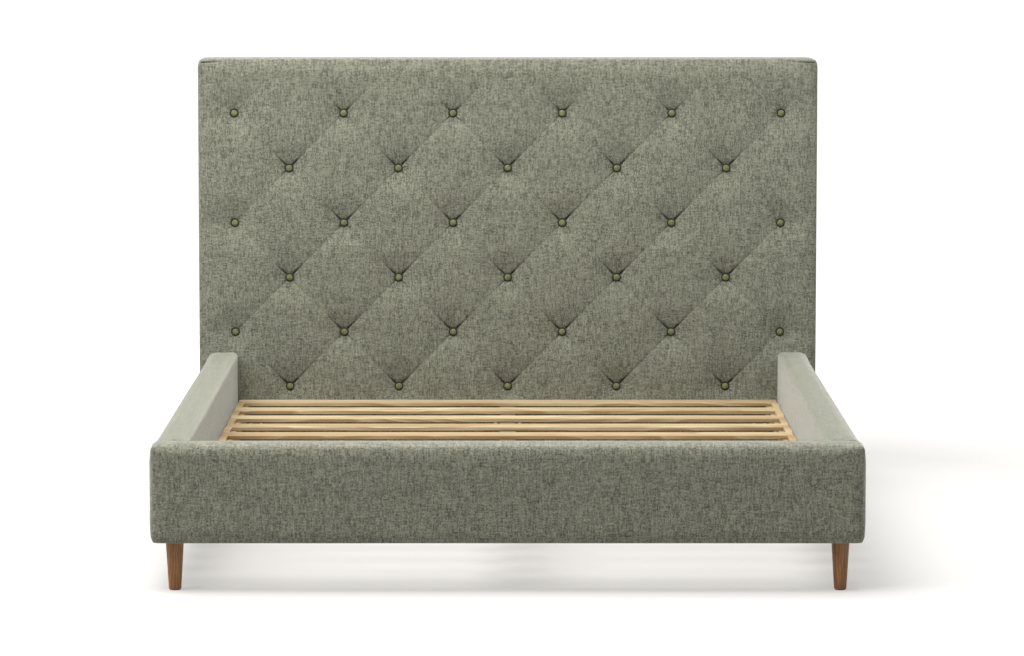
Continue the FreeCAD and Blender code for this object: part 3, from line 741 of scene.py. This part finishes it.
def make_headboard_foam(finishes):
    """The foam slab under the cover, hollowed where the buttons pull it in."""
    low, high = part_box("headboard_foam")
    step = TUFT_X / 7
    columns = int((high.x - low.x - 0.02) / step)
    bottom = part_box("headboard_packer")[1].z + 0.001
    rows = int((high.z - bottom - 0.01) / step)
    bm = bmesh.new()
    bmesh.ops.create_grid(bm, x_segments=columns, y_segments=rows, size=0.5)
    bmesh.ops.scale(bm, vec=(high.x - low.x - 0.024, high.z - bottom - 0.014, 1), verts=bm.verts)
    bmesh.ops.rotate(bm, matrix=Matrix.Rotation(math.pi / 2, 3, "X"), verts=bm.verts)
    bmesh.ops.translate(bm, vec=(0, FACE_Y + 0.008, (bottom + high.z - 0.012) / 2), verts=bm.verts)
    for vert in bm.verts:
        spot = Vector((vert.co.x, vert.co.z))
        vert.co.y += broad_depth(spot) * 1.3
    rim = [e for e in bm.edges if e.is_boundary]
    made = bmesh.ops.extrude_edge_only(bm, edges=rim)["geom"]
    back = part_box("headboard_panel")[0].y - 0.0005
    for vert in (g for g in made if isinstance(g, bmesh.types.BMVert)):
        vert.co.y = back
    rim = [g for g in made if isinstance(g, bmesh.types.BMEdge) and g.is_boundary]
    bmesh.ops.edgeloop_fill(bm, edges=rim)
    piece = piece_from("headboard_foam_slab", bm)
    finish_piece(piece, finishes["foam"], ["headboard_foam"])


def make_buttons(finishes):
    """Covered buttons: a domed cap with the cloth gathered round its rim."""
    bm = bmesh.new()
    for spot in SPOTS:
        made = bmesh.ops.create_uvsphere(bm, u_segments=24, v_segments=12, radius=1.0)
        verts = made["verts"]
        bmesh.ops.scale(bm, vec=(CAP_R, CAP_R, CAP_RISE), verts=verts)
        for vert in verts:
            turn = math.atan2(vert.co.y, vert.co.x)
            out = math.hypot(vert.co.x, vert.co.y) / BUTTON_R
            gather = 1 + 0.025 * math.sin(turn * 12 + spot.x * 40) * out ** 4
            vert.co.x *= gather
            vert.co.y *= gather
            if vert.co.z < 0:
                vert.co.z *= 0.5
        bmesh.ops.rotate(bm, matrix=Matrix.Rotation(math.pi / 2, 3, "X"), verts=verts)
        seat = FACE_Y + BUTTON_SEAT - CAP_PROUD
        bmesh.ops.translate(bm, vec=(spot.x, seat, spot.y), verts=verts)
    piece = piece_from("tuft_button_caps", bm)
    lay_weave(piece)
    finish_piece(piece, finishes["button_fabric"], ["tuft_buttons"])


# ---- Padded rails and footboard ----

def padded_board(name, low, high, rounds, inset, voxel=0.008):
    """A box with its named edges rounded, remeshed into even squares. rounds: (test, radius)."""
    bm = bmesh.new()
    bmesh.ops.create_cube(bm, size=1.0)
    size = high - low
    bmesh.ops.scale(bm, vec=(size.x - 2 * inset, size.y - 2 * inset, size.z - 2 * inset), verts=bm.verts)
    bmesh.ops.translate(bm, vec=(low + high) / 2, verts=bm.verts)
    for test, radius in rounds:
        edges = [e for e in bm.edges if test((e.verts[0].co + e.verts[1].co) / 2)]
        bmesh.ops.bevel(bm, geom=edges, offset=radius, offset_type="OFFSET", affect="EDGES",
                        segments=6, profile=0.5, material=-1)
    piece = piece_from(name, bm)
    remesh = piece.modifiers.new("even", "REMESH")
    remesh.mode = "VOXEL"
    remesh.voxel_size = voxel
    remesh.use_smooth_shade = True
    graph = bpy.context.evaluated_depsgraph_get()
    mesh = bpy.data.meshes.new_from_object(piece.evaluated_get(graph))
    piece.modifiers.remove(remesh)
    piece.data = mesh
    mesh.name = name
    return piece


def make_foam_sleeve(node, core, rounds, finishes):
    """Foam wrapped over the top and sides of a board: a rounded block with the board's pocket below."""
    low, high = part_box(node)
    in_low, in_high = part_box(core)
    shrink = Vector((0.005, 0.005, 0.005))
    bm = bmesh.new()
    made = bmesh.ops.create_cube(bm, size=1.0)["verts"]
    size = high - low - 2 * shrink
    bmesh.ops.scale(bm, vec=size, verts=made)
    bmesh.ops.translate(bm, vec=(low + high) / 2, verts=made)
    under = min(bm.faces, key=lambda face: face.calc_center_median().z)
    bmesh.ops.inset_region(bm, faces=[under], thickness=0.004)
    for vert in under.verts:
        vert.co.x = in_low.x - 0.0003 if vert.co.x < (low.x + high.x) / 2 else in_high.x + 0.0003
        front = max(in_low.y - 0.0003, low.y + 0.004)
        rear = min(in_high.y + 0.0003, high.y - 0.004)
        vert.co.y = front if vert.co.y < (low.y + high.y) / 2 else rear
    pushed = bmesh.ops.extrude_discrete_faces(bm, faces=[under])["faces"][0]
    for vert in pushed.verts:
        vert.co.z = min(in_high.z, high.z - 0.006) + 0.0003
    for test, radius in rounds:
        edges = [e for e in bm.edges if test((e.verts[0].co + e.verts[1].co) / 2)]
        bmesh.ops.bevel(bm, geom=edges, offset=radius, offset_type="OFFSET", affect="EDGES",
                        segments=5, profile=0.5, material=-1)
    piece = piece_from(node + "_wrap", bm, smooth=False)
    finish_piece(piece, finishes["foam"], [node])


def wrinkle(point, size, along, across):
    """Soft puckers: noise drawn out along one direction."""
    return size * noise.noise(Vector((point[0] * along, point[1] * across, 1.7)))


def make_side_rail(side, finishes):
    """side is 1 on the right and -1 on the left."""
    word = "right" if side > 0 else "left"
    low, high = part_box("side_rail_cover_" + word)
    outer = high.x if side > 0 else low.x
    inner = low.x if side > 0 else high.x
    inset = 0.0012
    rounds = [
        (lambda p: abs(p.x - outer) < 0.003 and abs(p.z - high.z) < 0.003, 0.022),
        (lambda p: abs(p.x - inner) < 0.003 and abs(p.z - high.z) < 0.003, 0.009),
        (lambda p: abs(p.z - low.z) < 0.003 and abs(p.x - outer) < 0.003, 0.008),
    ]
    foam_rounds = [
        (lambda p: abs(p.x - outer) < 0.008 and abs(p.z - high.z) < 0.008, 0.022),
        (lambda p: abs(p.x - inner) < 0.008 and abs(p.z - high.z) < 0.008, 0.008),
    ]
    make_foam_sleeve("side_rail_foam_" + word, "side_rail_core_" + word, foam_rounds, finishes)
    piece = padded_board("side_rail_padded_" + word, low, high, rounds, inset)
    held = []
    for vertex in piece.data.vertices:
        p = vertex.co
        at_end = p.y < low.y + 0.012 or p.y > high.y - 0.012
        if at_end or p.z < DECK_TOP or abs(p.x - inner) < 0.002:
            held.append(vertex.index)
    relax_cloth(piece, held, 2.0, 0.0025, frames=10, stiffness=25.0)
    for vertex in piece.data.vertices:
        p = vertex.co
        inside = max(0.0, 1 - abs(p.x - inner) / 0.012)
        near_deck = math.exp(-((p.z - DECK_TOP - 0.01) / 0.045) ** 2)
        pucker = wrinkle((p.z, p.y), 0.0016, 6.0, 38.0) * (0.25 + near_deck)
        vertex.co.x -= side * (pucker - 0.0002) * inside
        vertex.co.z += wrinkle((p.y, p.x), 0.0009, 2.2, 8.0) * (p.z > high.z - 0.02)
    piece.data.shade_smooth()
    lay_weave(piece, turned=True)
    finish_piece(piece, finishes["upholstery_fabric"], ["side_rail_cover_" + word])


def make_footboard(finishes):
    """The footboard's cover and foam, rounded everywhere but along the low rear edge."""
    low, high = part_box("footboard_cover")

    def rounded(p):
        return not (p.y > high.y - 0.003 and p.z < low.z + 0.003)

    def foam_rounded(p):
        outside = p.z > high.z - 0.008 or abs(p.x) > high.x - 0.008 or p.y < low.y + 0.008
        return outside and p.z > low.z + 0.008

    make_foam_sleeve("footboard_foam", "footboard_core", [(foam_rounded, 0.012)], finishes)
    piece = padded_board("footboard_padded", low, high, [(rounded, 0.0125)], 0.0012)
    held = [v.index for v in piece.data.vertices if v.co.z < low.z + 0.006 or v.co.y > high.y - 0.003]
    relax_cloth(piece, held, 2.0, 0.0025, frames=10, stiffness=25.0)
    for vertex in piece.data.vertices:
        p = vertex.co
        if p.y < low.y + 0.02:
            vertex.co.y -= wrinkle((p.x, p.z), 0.0007, 5.0, 4.0)
    piece.data.shade_smooth()
    lay_weave(piece)
    finish_piece(piece, finishes["upholstery_fabric"], ["footboard_cover"])


def make_back_cloth(finishes):
    """Dust cloth pulled flat over the back of the headboard, with its row of staples."""
    low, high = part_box("headboard_back_cloth")
    width = high.x - low.x
    height = high.z - low.z
    bm = bmesh.new()
    bmesh.ops.create_grid(bm, x_segments=120, y_segments=72, size=0.5)
    bmesh.ops.scale(bm, vec=(width, height, 1), verts=bm.verts)
    bmesh.ops.rotate(bm, matrix=Matrix.Rotation(-math.pi / 2, 3, "X"), verts=bm.verts)
    bmesh.ops.translate(bm, vec=(0, high.y - 0.0006, (low.z + high.z) / 2), verts=bm.verts)
    for vert in bm.verts:
        edge = min(vert.co.x - low.x, high.x - vert.co.x, vert.co.z - low.z, high.z - vert.co.z)
        free = min(edge / 0.08, 1.0)
        sway = wrinkle((vert.co.x + vert.co.z * 0.6, vert.co.z), 0.0018, 3.0, 7.0)
        tug = math.exp(-edge / 0.02) * 0.0004 * math.sin(vert.co.x * 125) * math.sin(vert.co.z * 125)
        vert.co.y += sway * free + tug
    piece = piece_from("headboard_dust_cloth", bm)
    thick = piece.modifiers.new("thick", "SOLIDIFY")
    thick.thickness = DUST_CLOTH_T
    thick.offset = 0.0
    finish_piece(piece, finishes["back_cloth"], ["headboard_back_cloth"])
    make_staples(finishes, low, high)


def make_staples(finishes, low, high):
    """One small steel staple at every pitch round the edge of the dust cloth."""
    bm = bmesh.new()
    left, right = low.x + STAPLE_MARGIN, high.x - STAPLE_MARGIN
    bottom, top = low.z + STAPLE_MARGIN, high.z - STAPLE_MARGIN
    across = int((right - left) / STAPLE_PITCH)
    up = int((top - bottom) / STAPLE_PITCH)
    wide, thick = STAPLE_WIRE
    level = (STAPLE_CROWN, thick, wide)
    upright = (wide, thick, STAPLE_CROWN)
    spots = []
    for i in range(across + 1):
        x = left + i * (right - left) / across
        spots += [(x, bottom, level), (x, top, level)]
    for i in range(1, up):
        z = bottom + i * (top - bottom) / up
        spots += [(left, z, upright), (right, z, upright)]
    for x, z, size in spots:
        made = bmesh.ops.create_cube(bm, size=1.0)["verts"]
        bmesh.ops.scale(bm, vec=size, verts=made)
        bmesh.ops.translate(bm, vec=(x, high.y + 0.0001, z), verts=made)
    bmesh.ops.bevel(bm, geom=bm.edges[:], offset=0.0003, offset_type="OFFSET", affect="EDGES",
                    segments=2, profile=0.5, material=-1)
    piece = piece_from("dust_cloth_staples", bm)
    piece.data.materials.append(finishes["zinc_steel"])
    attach(piece, "bed_frame")


# ---- Stage, light and camera ----

def make_floor():
    """A wide floor that glows as painted light: dimly near the bed, brighter away from it, so that far off
    it blends into the white room.
    """
    bm = bmesh.new()
    bmesh.ops.create_grid(bm, x_segments=1, y_segments=1, size=90.0)
    floor = piece_from("floor", bm)
    f = Finish("glowing floor")
    mottle = f.noise(f.places(), 0.7, 2.0)
    away = f.node("ShaderNodeVectorMath", {"operation": "LENGTH"}, {0: f.places()}, out="Value")
    glow = f.limit(away, 1.9, 4.0)
    # Painted light: the floor emits light, 0.36 near the bed rising to 0.9 between 1.9 and 4 m out.
    floor.data.materials.append(f.surface(
        Base_Color=f.mix(mottle, rgba(0.28, 0.277, 0.272), rgba(0.29, 0.286, 0.280)), Roughness=0.9,
        Specular_IOR_Level=0.1, Emission_Strength=1.0,
        Emission_Color=f.mix(glow, rgba(0.36, 0.350, 0.335), rgba(0.9, 0.9, 0.9))))


def softbox(name, place, target, width, height, power, tint=(1.0, 1.0, 1.0)):
    """A soft rectangular lamp aimed at a target."""
    lamp = bpy.data.lights.new(name, "AREA")
    lamp.shape = "RECTANGLE"
    lamp.size = width
    lamp.size_y = height
    lamp.energy = power
    lamp.color = tint
    light = bpy.data.objects.new(name, lamp)
    light.location = place
    light.rotation_euler = (Vector(target) - Vector(place)).to_track_quat("-Z", "Y").to_euler()
    bpy.context.scene.collection.objects.link(light)


def make_lights():
    """One large lamp overhead, a small one high on the left, and an even white room."""
    softbox("overhead", (-0.9, -0.5, 4.4), (0.0, 0.1, 0.2), 5.0, 5.0, 720.0, (1.0, 0.995, 0.98))
    softbox("upper left", (-5.2, -3.6, 4.6), (0.0, 0.9, 0.7), 1.6, 1.6, 120.0)
    world = bpy.data.worlds.new("studio")
    world.use_nodes = True
    shade = world.node_tree.nodes["Background"]
    shade.inputs["Color"].default_value = (1.0, 1.0, 1.0, 1.0)
    shade.inputs["Strength"].default_value = 0.62
    bpy.context.scene.world = world


def make_camera():
    """Standing well back from the foot of the bed, a little above the headboard's top."""
    camera = bpy.data.objects.new("camera", bpy.data.cameras.new("camera"))
    camera.data.lens = 159.57
    camera.data.shift_x = 0.00426
    camera.data.clip_end = 300.0
    camera.location = (0.0, CAD_LOW.y - 10.846, 1.7262)
    camera.rotation_euler = (math.radians(90 - 5.704), 0.0, 0.0)
    bpy.context.scene.collection.objects.link(camera)
    bpy.context.scene.camera = camera


make_camera()
make_lights()
make_floor()
FINISHES = make_finishes()
dress_frame(FINISHES)
make_headboard(FINISHES)
make_headboard_foam(FINISHES)
make_buttons(FINISHES)
make_side_rail(-1, FINISHES)
make_side_rail(1, FINISHES)
make_footboard(FINISHES)
make_back_cloth(FINISHES)
bpy.context.scene.view_settings.view_transform = "Standard"
